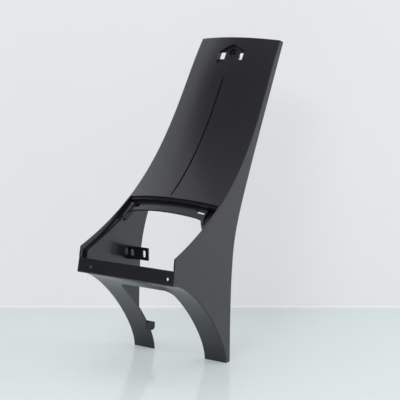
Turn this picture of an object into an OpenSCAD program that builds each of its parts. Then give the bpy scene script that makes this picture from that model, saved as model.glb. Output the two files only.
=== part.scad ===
// Leg shield of a small scooter: one moulded shell, standing on the ends of its two legs.
// X runs across the shield, Y to its hollow rear side, Z up. Millimetres.

/* [Overall] */
// Height of the front face at its top corners, above the leg ends
height = 600; // [540:1:660]
// Width over the side panels at the crossbar and the legs
base_w = 218; // [190:1:250]
// Width over the side panels at the top edge
top_w = 184; // [160:1:200]
// Thickness of the moulded wall
wall = 3; // [2.4:0.1:3.6]
// How far the top edge stands behind the front of the leg ends
top_back = 220; // [180:1:250]

/* [Neck face] */
// How far the middle of the face bulges out
crown = 15; // [8:0.5:18]
// Rise of the top edge's cut towards the front, in degrees
top_slope = 18; // [5:1:35]
// Rise of the face where it starts at the nose, in degrees from level
neck_start = 19; // [15:1:24]
// Rise of the face where it ends at the top, in degrees from level
neck_end = 53; // [46:1:60]
// Length of the curve's lower handle
neck_low_pull = 270; // [220:1:300]
// Length of the curve's upper handle
neck_high_pull = 136; // [100:1:180]
// Width of the groove down the middle of the face
groove_w = 3.4; // [1.6:0.1:4]
// Depth of the groove
groove_deep = 1.9; // [0.6:0.1:2]
// Height of the groove's lower end
groove_low = 314; // [310:1:360]
// Height of the groove's upper end
groove_high = 527; // [480:1:530]
// Length of the short hook at the groove's upper end
hook_len = 10; // [4:0.5:12]

/* [Side panels] */
// Depth of a side panel at the floor, front to rear
foot_depth = 13; // [8:0.5:20]
// Height at which the rear edge turns from upright to leaning back
rear_bend_z = 230; // [200:1:250]
// How far the rear edge leans back for each millimetre of height above the bend
rear_lean = 0.6; // [0.55:0.01:0.65]
// Softness of the bend in the rear edge
rear_soft = 20; // [12:1:30]

/* [Crossbar] */
// Height of the crossbar's lower edge
bar_z = 182; // [170:1:195]
// How far the crossbar's lower edge stands in front of the leg ends
bar_front = 173; // [150:1:190]
// Height of the crossbar's face
bar_h = 27.5; // [24:0.5:34]
// Height of the nose corner of the side panels above the crossbar's lower edge
nose_h = 48; // [42:1:56]
// How far the nose corner lies behind the crossbar's lower edge
nose_back = 10; // [4:0.5:16]
// Diameter of the two screw holes in the crossbar
bar_hole_d = 5.5; // [4:0.5:9]
// Distance of the left screw hole from the middle
bar_hole_left = 78; // [60:1:92]
// Distance of the right screw hole from the middle
bar_hole_right = 95; // [60:1:98]
// Height of the screw holes above the crossbar's lower edge
bar_hole_z = 12.5; // [9:0.5:16]

/* [Arch and legs] */
// Slope of the arched strip where it leaves the crossbar, in degrees down
arch_start = 3; // [0:1:12]
// Length of the arch curve's handle at the crossbar
arch_bar_pull = 63; // [45:1:90]
// Length of the arch curve's handle at the leg end
arch_foot_pull = 53; // [35:1:80]
// Width of the flange that runs down each leg
leg_w = 49; // [36:1:60]
// Height of the lower rim of the strip under the crossbar
strip_z = 155; // [146:1:160]
// Radius of the arch's upper corners
arch_r = 14; // [6:1:20]

/* [Leg tab] */
// Reach of the tab beyond the left flange
tab_reach = 16; // [12:1:30]
// Height of the tab's upper edge above the floor
tab_z = 62; // [50:1:80]
// Height of the tab itself
tab_h = 18; // [14:1:26]
// Radius of the tab's lower corner
tab_r = 9; // [2:1:10]
// How far the tab's face lies in front of the leg ends
tab_front = 21; // [17:1:24]

/* [Hatch seat] */
// Height of the lip at the side panels, where the face ends above the hatch
lip_z = 303; // [290:1:310]
// Slope of the lip's cut face, in degrees from level
lip_slope = 34; // [28:1:50]
// Depth of the hatch seat under the face
seat_deep = 12.5; // [8:0.5:15]
// Depth of the small step below the lip
step_deep = 5; // [3:0.5:6.5]
// Reach of the small step
step_reach = 3; // [1.5:0.5:4]
// Reach of the ledge from the lip to the clear opening
ledge_reach = 28; // [24:1:36]
// Width of the side ribs that carry the hatch
rib_w = 6; // [4:0.5:10]
// How far the ledge with its catch slots and wells sits to the left of the middle
ledge_shift = 6; // [0:0.5:7]
// How much further the ledge reaches at its right end
ledge_slant = 3.5; // [0:0.5:5]
// Mean extra width of the gussets where the ribs run into the ledge
gusset_w = 7.5; // [7:0.5:12]
// Length of the gussets down the ribs
gusset_h = 24; // [14:1:30]
// Radius of the clear opening's upper corners
open_r = 7; // [3:0.5:10]
// Width of the two catch slots in the ledge
catch_w = 18; // [12:1:20]
// Height of the catch slots
catch_h = 9; // [5:0.5:10]
// Distance between the middles of the catch slots
catch_gap = 154; // [130:1:156]
// Distance of the catch slots' middle from the lip
catch_drop = 15; // [12:1:20]
// Mean width of the corner wells beside the ledge
well_w = 12.5; // [10:0.5:14]
// Length of the corner wells
well_h = 44; // [30:1:46]
// Depth of the corner wells below the seat
well_deep = 8; // [5:1:12]

/* [Bracket] */
// Reach of the bracket inward from the left side panel
bracket_w = 46; // [36:1:56]
// Height of the bracket
bracket_h = 25; // [20:1:30]
// Height of the bracket's lower edge
bracket_z = 180; // [160:1:200]
// How far the bracket's face lies in front of the leg ends
bracket_front = 17; // [8:1:30]
// Width of the bracket's upright slots
bracket_slot_w = 6.5; // [5:0.5:8]
// Height of the slots
bracket_slot_h = 14; // [10:0.5:16]
// Distance between the slots
bracket_slot_gap = 28; // [20:1:32]
// Reach of the two webs in front of the bracket's face
bracket_web = 8; // [5:1:16]

/* [Top seat] */
// Distance of the screw seat's hole from the top edge, along the face
seat_drop = 37.5; // [32:0.5:44]
// Width of the house-shaped recess
seat_w = 57; // [56:1:66]
// Distance from the hole up to the ridge of the recess
seat_ridge = 16; // [14:1:20]
// Distance from the hole up to the eaves
seat_eaves = 2; // [0:1:6]
// Distance from the hole down to the bottom of the recess
seat_floor = 26; // [22:1:28]
// Depth of the recess below the face
seat_recess = 6; // [4:0.5:8]
// Diameter of the screw hole
screw_d = 6; // [4:0.5:8]
// Diameter of the counterbore round the screw
screw_head_d = 16; // [12:0.5:19]
// Depth of the counterbore below the recess
screw_head_deep = 4; // [2:0.5:6]
// Length of the screw's boss behind the wall
boss_len = 13; // [4:1:16]
// Width of the two windows beside the screw
window_w = 11.5; // [8:0.5:12]
// Height of the windows
window_h = 15.5; // [10:0.5:18]
// Distance between the middles of the windows
window_gap = 44; // [42:0.5:44]
// Distance of the windows' middle below the hole
window_drop = 8; // [6:0.5:10]

/* [Hidden] */
$fn = 48;
// Spare length by which a cutter passes a wall, and by which a joined wall sinks into its neighbour
past = 1;
sink = 0.4;
arch_steps = 18;
low_steps = 10;
groove_steps = 13;
high_steps = 5;
bar_steps = 2;
// Share of the neck curve over which the groove runs out at its upper end
groove_fade = 0.006;
half_cols = 8;
lip_cols = 12;
seat_steps = 8;
// How far the side ribs reach below the top of the crossbar, and how they lean with the nose there
seat_tuck = 6;
seat_low_share = 0.5;
// Thickness of the walls of the corner wells, of the screw's boss and of the bracket's ribs
well_wall = 2;
boss_wall = 2.5;
bracket_rib = 2.5;
// Distance of the bracket's middle rib from the side panel
bracket_mid = 22;
// How far the tab's root reaches into the flange, and how much lower than the tab its block is
tab_root = 5;
plastic = [0.24, 0.245, 0.26];

// Corner points of the side view, as [y, z] with y = 0 at the front of the leg ends
foot = [0, 0];
bar_low = [-bar_front, bar_z];
nose = [-bar_front + nose_back, bar_z + nose_h];
crest = [top_back, height];

// Rearmost point, where the rear edge meets the cut of the top edge, and the middle of the whole depth
function top_z(y) = height - (y - top_back) * tan(top_slope);
function rear_end(y, n) = n == 0 ? y : rear_end(rear_y(top_z(y)), n - 1);
mid_y = (rear_end(top_back, 12) - bar_front) / 2;

function bez(p, t) = pow(1 - t, 3) * p[0] + 3 * pow(1 - t, 2) * t * p[1]
    + 3 * (1 - t) * t * t * p[2] + pow(t, 3) * p[3];
function unit(v) = v / norm(v);
function smooth(u) = let (v = min(1, max(0, u))) v * v * (3 - 2 * v);

arch_bez = [bar_low, bar_low + arch_bar_pull * [cos(arch_start), -sin(arch_start)],
    foot + [0, arch_foot_pull], foot];
neck_bez = [nose, nose + neck_low_pull * [cos(neck_start), sin(neck_start)],
    crest - neck_high_pull * [cos(neck_end), sin(neck_end)], crest];

// Share of the neck curve at which it reaches a height
function neck_at(z, lo = 0, hi = 1, n = 24) = n == 0 ? (lo + hi) / 2 :
    let (m = (lo + hi) / 2) bez(neck_bez, m)[1] < z ? neck_at(z, m, hi, n - 1) : neck_at(z, lo, m, n - 1);
function shares(a, b, n) = [for (i = [0:n]) a + (b - a) * i / n];
groove_t = [neck_at(groove_low), neck_at(groove_high)];

// The front line of the side view from the leg end up to a little beyond the top edge
front_line = concat(
    [for (t = shares(1, 0, arch_steps)) if (t > 0) bez(arch_bez, t)],
    [for (t = shares(0, 1, bar_steps)) if (t < 1) bar_low + (nose - bar_low) * t],
    [for (t = shares(0, groove_t[0], low_steps)) if (t < groove_t[0]) bez(neck_bez, t)],
    [for (t = shares(groove_t[0], groove_t[1], groove_steps)) bez(neck_bez, t)],
    [for (t = shares(groove_t[1] + groove_fade, 1, high_steps)) bez(neck_bez, t)],
    [crest + crown * [cos(neck_end), sin(neck_end)]]);
last = len(front_line) - 1;

// Outward direction at a point of a line: the mean of its two stretches, longer at a corner
function out_dir(a, b) = let (d = unit(b - a)) [-d[1], d[0]];
function line_out(line, i) = let (
    n = len(line) - 1,
    a = i > 0 ? out_dir(line[i - 1], line[i]) : out_dir(line[0], line[1]),
    b = i < n ? out_dir(line[i], line[i + 1]) : out_dir(line[n - 1], line[n]),
    m = unit(a + b)) m / max(0.5, m * a);

// The rear edge of the side panels: upright at the legs, then leaning back along the neck
function rear_blend(z) = let (h = rear_lean * (z - rear_bend_z) / 2) h + sqrt(h * h + rear_soft * rear_soft);
function rear_y(z) = foot_depth + rear_blend(z) - rear_blend(0);

// Half the width over the side panels: full at the legs, narrowing up the neck
function half_w(z) = let (u = max(0, (z - bar_z) / (height - bar_z)))
    (base_w - (base_w - top_w) * pow(u, 1.15)) / 2;

// Bulge of the face at a height, and whether the groove is cut there
function bulge(z) = crown * smooth((z - nose[1]) / (lip_z - nose[1]));
function groove_here(z) = abs(2 * z - groove_low - groove_high) < groove_high - groove_low + sink ? groove_deep : 0;

// Shares of the half width at which the face is sampled, with the groove's edges in the middle
function cols(w) = let (g = groove_w / w / 2) concat(
    [for (i = [-half_cols:-1]) i / half_cols], [-g, 0, g], [for (i = [1:half_cols]) i / half_cols]);

function face_pt(t, w, p, n, z, deep) = let (
    c = bulge(z) * (1 - t * t) - deep,
    q = p + n * c) [t * w, q[0], q[1]];

// One section of the shell: rear edge, across the face and back on the inner side
function ring(i) = let (
    p = front_line[i],
    n = line_out(front_line, i),
    z = p[1],
    w = half_w(z),
    r = rear_y(z),
    cs = cols(w),
    m = len(cs))
    concat(
        [[-w, r, z]],
        [for (k = [0:m - 1]) face_pt(cs[k], w, p, n, z, abs(cs[k]) < 1e-6 ? groove_here(z) : 0)],
        [[w, r, z], [w - wall, r, z]],
        [for (k = [m - 1:-1:0]) face_pt(cs[k] * (w - wall) / w, w, p, n, z, wall)],
        [[-w + wall, r, z]]);

// Triangles that join equal closed loops, with both ends closed
function loft_faces(rings, m) = concat(
    [for (i = [0:rings - 2]) for (k = [0:m - 1]) let (a = i * m + k, b = i * m + (k + 1) % m) [a, a + m, b + m]],
    [for (i = [0:rings - 2]) for (k = [0:m - 1]) let (a = i * m + k, b = i * m + (k + 1) % m) [a, b + m, b]]);
function strip_caps(m, base, up) = [for (k = [0:m / 2 - 2]) for (s = [0, 1]) let (
    a = base + k, b = base + k + 1, c = base + m - 2 - k, d = base + m - 1 - k,
    f = s == 0 ? [a, b, c] : [a, c, d]) up ? f : [f[2], f[1], f[0]]];

// A shell whose sections fold back on themselves, so that its ends close strip by strip
module folded_loft(rings) {
    m = len(rings[0]);
    polyhedron(
        points = [for (r = rings) for (q = r) q],
        faces = concat(loft_faces(len(rings), m), strip_caps(m, 0, true),
            strip_caps(m, (len(rings) - 1) * m, false)));
}

module skin() {
    folded_loft([for (i = [0:last]) ring(i)]);
}

// Side view outlines are drawn as [y, z] and pushed out to both sides of the middle
module across(w) {
    rotate([90, 0, 90])
        translate([0, 0, -w / 2])
            linear_extrude(w)
                children();
}

// Front view outlines are drawn as [x, z] and pushed back from y0 to y1
module through(y0, y1) {
    translate([0, y1, 0])
        rotate([90, 0, 0])
            linear_extrude(y1 - y0)
                children();
}

function neck_dir(t) = unit(bez(neck_bez, min(1, t + 0.002)) - bez(neck_bez, max(0, t - 0.002)));
function neck_out(t) = let (d = neck_dir(t)) [-d[1], d[0]];

lip_t = neck_at(lip_z);
seat_z = height - seat_drop * sin(neck_end);
seat_t = neck_at(seat_z);
lip = bez(neck_bez, lip_t);
lip_dir = [-cos(lip_slope), sin(lip_slope)];
hatch_dir = unit(nose - lip);
hatch_out = [hatch_dir[1], -hatch_dir[0]];
hatch_tilt = atan2(hatch_out[1], -hatch_out[0]);

module hatch_cut() {
    far = 2 * bar_front;
    intersection() {
        across(base_w)
            polygon([lip + lip_dir * far, lip - lip_dir * (seat_deep + crown),
                [lip[0], bar_z + bar_h], [-far, bar_z + bar_h], [-far, height]]);
        through(-far, far)
            polygon([for (s = [-1, 1]) for (i = [0:6]) let (
                z = bar_z + (s < 0 ? i : 6 - i) * (lip_z + crown - bar_z) / 6) [s * (half_w(z) - wall), z]]);
    }
}

// Small upright tab on the left flange, joined to the flange's inner edge by a block
module tab() {
    root = tab_root + sink;
    translate([-base_w / 2 + leg_w - root, -tab_front, tab_z - tab_h]) {
        rotate([90, 0, 0])
            translate([0, 0, -wall])
                linear_extrude(wall)
                    tab_outline(root + tab_reach);
        cube([root, tab_front - foot_depth / 2, tab_h - tab_root]);
    }
}

module tab_outline(w) {
    square([w - tab_r, tab_h]);
    translate([0, tab_r])
        square([w, tab_h - tab_r]);
    translate([w - tab_r, tab_r])
        circle(tab_r);
}

module top_cut() {
    far = bar_front;
    across(2 * base_w)
        polygon([[-far, top_z(-far)], [2 * far, top_z(2 * far)], [2 * far, 2 * height], [-far, 2 * height]]);
}

module leg_cut() {
    w = base_w - 2 * leg_w;
    through(-bar_front - past, rear_y(bar_z) + past)
        difference() {
            translate([-w / 2, -past])
                square([w, strip_z + past]);
            for (s = [-1, 1])
                difference() {
                    translate([s > 0 ? w / 2 - arch_r : -w / 2 - past, strip_z - arch_r])
                        square([arch_r + past, arch_r + past]);
                    translate([s * (w / 2 - arch_r), strip_z - arch_r])
                        circle(arch_r);
                }
        }
}

// A frame on the middle line of the face: X across, Y up the slope, Z straight out of the face
module on_face(t, lift) {
    d = neck_dir(t);
    p = bez(neck_bez, t) + neck_out(t) * lift;
    translate([0, p[0], p[1]])
        rotate([atan2(d[1], d[0]), 0, 0])
            children();
}

// The stepped wall under the lip: one section carried across the bulged face
lip_n = neck_out(lip_t);
lip_down = -neck_dir(lip_t);
lip_lean = lip_n * lip_dir;
lip_section = [[-2 * wall, -wall / 2], [0, -wall / 2], [0, -step_deep], [step_reach, -step_deep],
    [step_reach, -seat_deep - wall / 2], [step_reach - wall, -seat_deep - wall / 2],
    [step_reach - wall, -step_deep - wall], [-2 * wall, -step_deep - wall]];

module lip_wall() {
    w = half_w(lip_z);
    reach = (w - wall + sink) / w;
    rings = [for (k = [-lip_cols:lip_cols]) let (
        t = reach * k / lip_cols,
        q = lip + lip_dir * bulge(lip_z) * (1 - t * t) / lip_lean)
        [for (c = lip_section) let (v = q + lip_down * c[0] + lip_n * c[1]) [t * w, v[0], v[1]]]];
    m = len(lip_section);
    polyhedron(
        points = [for (r = rings) for (q = r) q],
        faces = concat(loft_faces(len(rings), m), section_caps(m, 0, true),
            section_caps(m, (len(rings) - 1) * m, false)));
}

// The section is two rectangles in a step, so its ends are closed by these six triangles
function section_caps(m, base, up) = [for (f = [[0, 1, 7], [1, 2, 7], [2, 6, 7], [2, 3, 6], [3, 4, 5], [3, 5, 6]])
    up ? [base + f[0], base + f[1], base + f[2]] : [base + f[2], base + f[1], base + f[0]]];

// Outline of the clear opening, drawn as [x, distance from the lip towards the nose]
module clear_outline() {
    far = norm(nose - lip) + nose_h + bar_h;
    w_top = half_w(lip_z) - wall - rib_w;
    w_in = w_top - gusset_w - open_r;
    w_low = half_w(bar_z) - wall - rib_w;
    reach = ledge_reach + ledge_slant;
    polygon(concat(
        [[w_low, far], [-w_low, far]],
        [[-w_top, ledge_reach + gusset_h]],
        [for (a = [180:15:270]) [-w_in - ledge_shift, ledge_reach + open_r] + open_r * [cos(a), sin(a)]],
        [for (a = [270:15:360]) [w_in - ledge_shift, reach + open_r] + open_r * [cos(a), sin(a)]],
        [[w_top, reach + gusset_h]]));
}

// Outline of the corner well beside the ledge's right end (s = 1) or its left end (s = -1), as
// [distance from the middle, distance below the lip], grown by a margin
module well_outline(grow, s) {
    w = half_w(lip_z) - wall;
    side = well_w + s * ledge_shift;
    polygon([[w + sink, step_reach - grow], [w - side - grow, step_reach - grow],
        [w - side - grow, well_h * 0.6], [w - side * 2 / 3 - grow, well_h + grow], [w + sink, well_h + grow]]);
}

module wells(grow, top, bottom) {
    on_face(lip_t, 0)
        for (s = [-1, 1])
            mirror([s < 0 ? 1 : 0, 0, 0])
                translate([0, 0, -seat_deep - bottom])
                    linear_extrude(bottom - top)
                        mirror([0, 1, 0])
                            well_outline(grow, s);
}

// The recessed seat for the hatch cover: the ledge at the top and a narrow rib down each side
module seat_sheet() {
    line = concat([[nose[0] - nose_back * seat_low_share, bar_z + bar_h - seat_tuck], nose],
        [for (i = [1:seat_steps]) bez(neck_bez, lip_t * i / seat_steps)]);
    folded_loft([for (i = [0:len(line) - 1]) let (
        p = line[i],
        o = line_out(line, i),
        w = half_w(p[1]),
        reach = (w - wall + sink) / w)
        concat(
            [for (k = [-half_cols:half_cols]) face_pt(reach * k / half_cols, w, p, o, p[1], seat_deep)],
            [for (k = [half_cols:-1:-half_cols]) face_pt(reach * k / half_cols, w, p, o, p[1], seat_deep + wall)])]);
}

module seat_frame() {
    difference() {
        union() {
            difference() {
                seat_sheet();
                translate([0, lip[0], lip[1]])
                    rotate([atan2(-hatch_dir[1], -hatch_dir[0]), 0, 0])
                        translate([0, 0, -2 * crown - seat_deep])
                            linear_extrude(4 * crown + seat_deep)
                                mirror([0, 1, 0])
                                    clear_outline();
            }
            wells(well_wall, wall / 3, well_deep + well_wall);
        }
        wells(0, -crown - past, well_deep);
        catch_slots();
    }
}

module catch_slots() {
    on_face(lip_t, 0)
        for (s = [-1, 1])
            translate([s * catch_gap / 2 - catch_w / 2 - ledge_shift, -catch_drop - catch_h / 2,
                -2 * crown - seat_deep])
                cube([catch_w, catch_h, 4 * crown + seat_deep]);
}

module bar_holes() {
    for (x = [-bar_hole_left, bar_hole_right])
        translate([x, -bar_front - past, bar_z + bar_hole_z])
            rotate([-90, 0, 0])
                cylinder(h = nose_back + 2 * wall + 2 * past, d = bar_hole_d);
}

// Bracket on the inner side of the left panel: an upright plate with two slots, held by two webs
module bracket() {
    inner = -half_w(bracket_z) + wall - sink;
    translate([inner, -bracket_front, bracket_z]) {
        difference() {
            cube([bracket_w + sink, wall, bracket_h]);
            for (s = [-1, 1])
                translate([sink + bracket_mid + s * bracket_slot_gap / 2, -past, bracket_h / 2])
                    upright_slot(bracket_slot_w, bracket_slot_h, wall + 2 * past);
        }
        translate([sink + bracket_mid - bracket_rib / 2, -bracket_rib, 0])
            cube([bracket_rib, bracket_rib + sink, bracket_h]);
        for (z = [0, bracket_h - bracket_rib])
            translate([0, 0, z])
                linear_extrude(bracket_rib)
                    polygon([[0, sink], [0, -bracket_web], [bracket_mid, sink]]);
    }
}

module upright_slot(w, h, deep) {
    translate([-w / 2, 0, -(h - w) / 2])
        cube([w, deep, h - w]);
    for (s = [-1, 1])
        translate([0, 0, s * (h - w) / 2])
            rotate([-90, 0, 0])
                cylinder(h = deep, d = w);
}

// House-shaped outline of the screw seat at the top, grown by a margin
module seat_house(grow) {
    w = seat_w / 2 + grow;
    polygon([[-w, -seat_floor - grow], [w, -seat_floor - grow], [w, seat_eaves + grow / 2],
        [0, seat_ridge + grow], [-w, seat_eaves + grow / 2]]);
}

module top_seat_body() {
    on_face(seat_t, bulge(seat_z)) {
        translate([0, 0, -seat_recess - wall])
            linear_extrude(seat_recess + wall / 4)
                seat_house(wall);
        translate([0, 0, -seat_recess - screw_head_deep - wall])
            cylinder(h = screw_head_deep + wall + sink, d = screw_head_d + 2 * wall);
        translate([0, 0, -seat_recess - screw_head_deep - wall - boss_len])
            cylinder(h = boss_len + sink, d = screw_d + 2 * boss_wall);
    }
}

module top_seat_cut() {
    on_face(seat_t, bulge(seat_z)) {
        translate([0, 0, -seat_recess])
            linear_extrude(seat_recess + crown)
                seat_house(0);
        translate([0, 0, -seat_recess - screw_head_deep])
            cylinder(h = screw_head_deep + past, d = screw_head_d);
        translate([0, 0, -seat_recess - screw_head_deep - wall - boss_len - past])
            cylinder(h = wall + boss_len + 2 * past, d = screw_d);
        for (s = [-1, 1])
            translate([s * window_gap / 2 - window_w / 2, -window_drop - window_h / 2, -seat_recess - wall - past])
                cube([window_w, window_h, wall + 2 * past]);
    }
}

// Short slanting hook at the upper end of the groove
module groove_hook() {
    on_face(neck_at(groove_high), bulge(groove_high))
        rotate([0, 0, -45])
            translate([-groove_w / 2, -groove_w / 2, -groove_deep])
                cube([groove_w, hook_len, crown]);
}

module leg_shield() {
    color(plastic)
        translate([0, -mid_y, 0]) {
            difference() {
                union() {
                    skin();
                    top_seat_body();
                }
                top_cut();
                hatch_cut();
                leg_cut();
                bar_holes();
                top_seat_cut();
                groove_hook();
            }
            tab();
            lip_wall();
            seat_frame();
            bracket();
        }
}

leg_shield();
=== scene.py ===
import bmesh
import bpy
import numpy as np
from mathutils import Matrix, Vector


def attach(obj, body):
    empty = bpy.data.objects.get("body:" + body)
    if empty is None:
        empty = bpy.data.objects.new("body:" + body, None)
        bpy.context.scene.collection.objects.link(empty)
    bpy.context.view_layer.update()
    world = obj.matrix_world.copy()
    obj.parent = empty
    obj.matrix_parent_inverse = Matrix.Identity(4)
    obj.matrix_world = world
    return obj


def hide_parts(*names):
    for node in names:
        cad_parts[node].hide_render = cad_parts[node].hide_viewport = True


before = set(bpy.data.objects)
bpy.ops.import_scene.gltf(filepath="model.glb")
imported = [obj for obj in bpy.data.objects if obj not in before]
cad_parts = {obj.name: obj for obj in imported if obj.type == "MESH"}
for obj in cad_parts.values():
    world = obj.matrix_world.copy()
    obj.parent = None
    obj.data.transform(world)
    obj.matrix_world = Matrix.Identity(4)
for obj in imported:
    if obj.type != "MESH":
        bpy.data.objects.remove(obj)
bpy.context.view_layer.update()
scene = bpy.context.scene
scene.view_settings.view_transform = "Standard"
MID_Y = 0.02934  # from the side view's own frame to the part's middle, in metres


class Sock:
    """A node's output socket, with Math nodes for the operators."""

    def __init__(self, tree, value):
        self.tree, self.value = tree, value

    def _math(self, op, a, b):
        return self.tree.node("ShaderNodeMath", {"operation": op}, {0: a, 1: b})

    def __add__(self, o):
        return self._math("ADD", self, o)

    __radd__ = __add__

    def __sub__(self, o):
        return self._math("SUBTRACT", self, o)

    def __rsub__(self, o):
        return self._math("SUBTRACT", o, self)

    def __mul__(self, o):
        return self._math("MULTIPLY", self, o)

    __rmul__ = __mul__


class Tree:
    """The emptied node tree of a material or of the world."""

    def __init__(self, owner):
        owner.use_nodes = True
        self.t = owner.node_tree
        self.t.nodes.clear()

    def node(self, kind, settings=None, inputs=None, out=0):
        """A new node with its settings and inputs, given as numbers or sockets. Returns one of its outputs."""
        n = self.t.nodes.new(kind)
        for k, v in (settings or {}).items():
            setattr(n, k, v)
        for k, v in (inputs or {}).items():
            if isinstance(v, Sock):
                self.t.links.new(v.value, n.inputs[k])
            else:
                n.inputs[k].default_value = v
        return Sock(self, n.outputs[out]) if len(n.outputs) else None


# Numbers of the outputs of Blender's nodes
TC_GENERATED, TC_NORMAL, TC_OBJECT = 0, 1, 3
LP_CAMERA, LP_GLOSSY, GEO_BACKFACING = 0, 3, 6
MIX_FACTOR, MIX_A, MIX_B, MIX_RESULT = 0, 6, 7, 2


def rise(tr, value, start, end):
    """Goes from 0 at start to 1 at end with level ends. Start may lie above end."""
    return tr.node("ShaderNodeMapRange", {"interpolation_type": "SMOOTHSTEP"},
                   {"Value": value, "From Min": start, "From Max": end})


def axis(tr, vector, k):
    """One coordinate of a vector."""
    return tr.node("ShaderNodeSeparateXYZ", {}, {0: vector}, out=k)


def blend(tr, factor, a, b):
    """A colour between a and b, by factor."""
    return tr.node("ShaderNodeMix", {"data_type": "RGBA"}, {MIX_FACTOR: factor, MIX_A: a, MIX_B: b}, out=MIX_RESULT)


def plastic():
    """Black moulded plastic with a satin skin: a fine grain and slow drifts of sheen. The floor of the centre groove,
    found by its place on the outer side, is duller, and its colour is darkened nearly to black as painted shade in the
    groove. Lengths are in metres."""
    m = bpy.data.materials.new("satin_black_plastic")
    tr = Tree(m)
    pos = tr.node("ShaderNodeTexCoord", out=TC_OBJECT)
    fine = tr.node("ShaderNodeTexNoise", {}, {"Vector": pos, "Scale": 900.0, "Detail": 2.0})
    broad = tr.node("ShaderNodeTexNoise", {}, {"Vector": pos, "Scale": 6.0, "Detail": 3.0})
    aside = tr.node("ShaderNodeMath", {"operation": "ABSOLUTE"}, {0: axis(tr, pos, 0)})
    height = axis(tr, pos, 2)
    faces_front = tr.node("ShaderNodeMapRange", {}, {
        "Value": axis(tr, tr.node("ShaderNodeTexCoord", out=TC_NORMAL), 1), "From Min": 0.0, "From Max": -0.1})
    # the groove's mask: it makes the floor duller and carries the painted shade below
    groove = rise(tr, aside, 0.0023, 0.0016) * rise(tr, height, 0.312, 0.318) * rise(tr, height, 0.529, 0.523)
    groove = groove * faces_front
    rough = 0.19 + 0.05 * broad + 0.03 * fine + 0.6 * groove
    col = blend(tr, broad, (0.0152, 0.0152, 0.0186, 1), (0.0190, 0.0190, 0.0228, 1))
    # painted shade: the groove's floor turns nearly black, standing in for the shade inside the groove
    col = blend(tr, groove, col, (0.002, 0.002, 0.002, 1))
    bump = tr.node("ShaderNodeBump", {}, {"Strength": 0.08, "Distance": 0.0002, "Height": fine})
    b = tr.node("ShaderNodeBsdfPrincipled", {}, {"Base Color": col, "Roughness": rough, "Normal": bump, "IOR": 1.6})
    tr.node("ShaderNodeOutputMaterial", {}, {"Surface": b})
    return m


def plain(name, colour, rough, own, one_sided=False, line=0.0):
    """Pale stage paint. The share own of its colour doesn't depend on the light, for the camera and for gloss. A
    one-sided sheet is clear to a camera behind it. A line is a lighter foot, this many metres high: a painted
    highlight along the sheet's lower edge, where the backdrop meets the floor."""
    m = bpy.data.materials.new(name)
    tr = Tree(m)
    pos = tr.node("ShaderNodeTexCoord", out=TC_OBJECT)
    drift = tr.node("ShaderNodeTexNoise", {}, {"Vector": pos, "Scale": 3.0})
    col = blend(tr, drift, tuple(c * 0.985 for c in colour[:3]) + (1,), colour)
    if line:
        # painted highlight: a light strip along the foot of the sheet
        col = blend(tr, rise(tr, axis(tr, pos, 2), 2 * line, 0.5 * line), col, (0.98, 0.99, 0.99, 1))
    b = tr.node("ShaderNodeBsdfPrincipled", {}, {"Base Color": col, "Roughness": rough})
    sight = tr.node("ShaderNodeLightPath", out=LP_CAMERA) + tr.node("ShaderNodeLightPath", out=LP_GLOSSY)
    glow = tr.node("ShaderNodeEmission", {}, {"Color": col, "Strength": 1.0})
    b = tr.node("ShaderNodeMixShader", {}, {0: own * sight, 1: b, 2: glow})
    if one_sided:
        behind = tr.node("ShaderNodeNewGeometry", out=GEO_BACKFACING) * tr.node("ShaderNodeLightPath", out=LP_CAMERA)
        clear = tr.node("ShaderNodeBsdfTransparent", {}, {})
        b = tr.node("ShaderNodeMixShader", {}, {0: behind, 1: b, 2: clear})
    tr.node("ShaderNodeOutputMaterial", {}, {"Surface": b})
    return m


mat = plastic()

# ---- values of the part, in millimetres, in the side view's own frame (y = 0 at the front of the leg ends)
WALL = 3.0
HEIGHT, BASE_W, TOP_W = 600.0, 218.0, 184.0
CROWN, TOP_SLOPE = 15.0, 18.0  # how far the face's middle stands out; the top edge's slope in degrees
BAR_LOW = np.array([-173.0, 182.0])  # the crossbar's lower corner, before rounding
NOSE = np.array([-163.0, 230.0])  # the top of the crossbar's panel, where the neck's line starts
CREST = np.array([220.0, 600.0])  # the top of the neck
NOSE_LEAN, NOSE_PULL = 19, 270  # the neck line's angle and pull at the nose
CREST_LEAN, CREST_PULL = 53, 136  # and at the top
LIP_Z, LIP_SLOPE = 303.0, 34.0
GROOVE_LOW, GROOVE_TOP, GROOVE_DEEP = 314.0, 527.0, 1.9
BAR_TOP = 209.5
BAR_HOLES, BAR_HOLE_R, BAR_HOLE_Z = (-78, 95), 2.75, 194.5
RIM_Z, ARCH_R = 155.0, 14.0  # the arch's flat rim, and its corners' radius
FOLD_R, BAR_R, EDGE_R = 2.2, 2.4, 0.6


def turn(deg):
    """Unit vector at an angle from the y axis, in the side view."""
    return np.array([np.cos(np.radians(deg)), np.sin(np.radians(deg))])


def bez(p, t):
    """Cubic curve from p[0] to p[3], pulled towards p[1] and p[2]."""
    t, p = np.asarray(t, float)[..., None], np.asarray(p, float)
    return (1 - t) ** 3 * p[0] + 3 * (1 - t) ** 2 * t * p[1] + 3 * (1 - t) * t * t * p[2] + t**3 * p[3]


def smooth(u):
    """Rises from 0 to 1 with level ends: three times the square less twice the cube."""
    u = np.clip(u, 0, 1)
    return u * u * (3 - 2 * u)


def half_w(z):
    """Half the width over the side panels: full up to the crossbar, then narrowing by the 1.15th power of height."""
    u = np.clip((z - BAR_LOW[1]) / (HEIGHT - BAR_LOW[1]), 0, None)
    return (BASE_W - (BASE_W - TOP_W) * u**1.15) / 2


def rear_y(z):
    """The rear edge: a hyperbola that is upright at the legs and leans back by 0.6 along the neck."""
    def lean(v):
        h = 0.3 * (v - 230.0)
        return h + np.sqrt(h * h + 400.0)
    return 13.0 + lean(z) - lean(0.0)


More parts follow.
